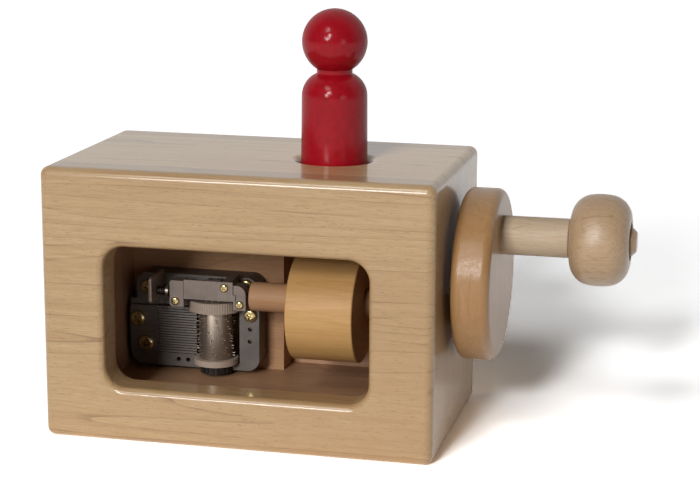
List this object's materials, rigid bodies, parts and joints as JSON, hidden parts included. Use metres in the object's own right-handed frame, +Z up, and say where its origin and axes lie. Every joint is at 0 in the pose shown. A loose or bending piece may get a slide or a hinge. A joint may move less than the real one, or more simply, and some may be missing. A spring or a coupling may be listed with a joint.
{
  "type": "wooden crank automaton",
  "caption": "Lacquered wooden box toy with a hand crank: an eccentric wheel lifts a red peg figure while a comb musical movement plays behind a window.",
  "frame": {"origin": "centre of the box's underside, on the table", "axes": "+X along the shaft towards the crank, +Y to the back, +Z up; the window is in the -Y face"},
  "size_m": [0.2117, 0.0888, 0.1573],
  "materials": {
    "maple": "clear gloss lacquer over light maple",
    "birch": "clear gloss lacquer over turned birch",
    "red_paint": "gloss red enamel on turned wood",
    "zinc_casting": "bare grey die casting, satin",
    "comb_steel": "ground steel, satin",
    "cylinder_metal": "satin plated",
    "brass": "bright",
    "white_plastic": "moulded, off white",
    "black_plastic": "moulded, black"
  },
  "bodies": {
    "case": {"front_panel": "maple", "back_panel": "maple", "top_panel": "maple", "bottom_panel": "maple", "left_panel": "maple", "right_panel": "maple", "mounting_block": "maple", "movement_bed": "zinc_casting", "comb": "comb_steel", "comb_screws": "brass", "mounting_screws": "brass", "end_bearing": "zinc_casting", "worm_bracket": "zinc_casting", "bracket_screws": "brass", "end_stop": "zinc_casting", "end_bush": "black_plastic"},
    "crank": {"drive_shaft": "birch", "lift_cam": "birch", "crank_disc": "birch", "crank_pin": "birch", "knob_peg": "birch", "worm_shaft": "comb_steel", "worm": "brass", "shaft_collar": "comb_steel"},
    "cylinder": {"pin_cylinder": "cylinder_metal", "worm_wheel": "white_plastic", "cylinder_ring": "white_plastic", "cylinder_arbor": "comb_steel"},
    "knob": {"knob": "birch"},
    "figure": {"peg_figure": "red_paint"}
  },
  "joints": [
    {"name": "crank_turn", "type": "hinge", "parent": "case", "child": "crank", "pos_m": [0, 0, 0.047], "axis": [1, 0, 0], "continuous": true},
    {"name": "cylinder_turn", "type": "hinge", "parent": "case", "child": "cylinder", "pos_m": [-0.02275, 0.008, 0.03], "axis": [0, 0, 1], "continuous": true},
    {"name": "knob_spin", "type": "hinge", "parent": "crank", "child": "knob", "pos_m": [0.12572, 0, 0.0764], "axis": [1, 0, 0], "continuous": true},
    {"name": "figure_lift", "type": "slide", "parent": "case", "child": "figure", "axis": [0, 0, 1], "range_m": [0, 0.035]}
  ],
  "couplings": [
    {"joint": "cylinder_turn", "follows": "crank_turn", "ratio": -0.0625}
  ]
}
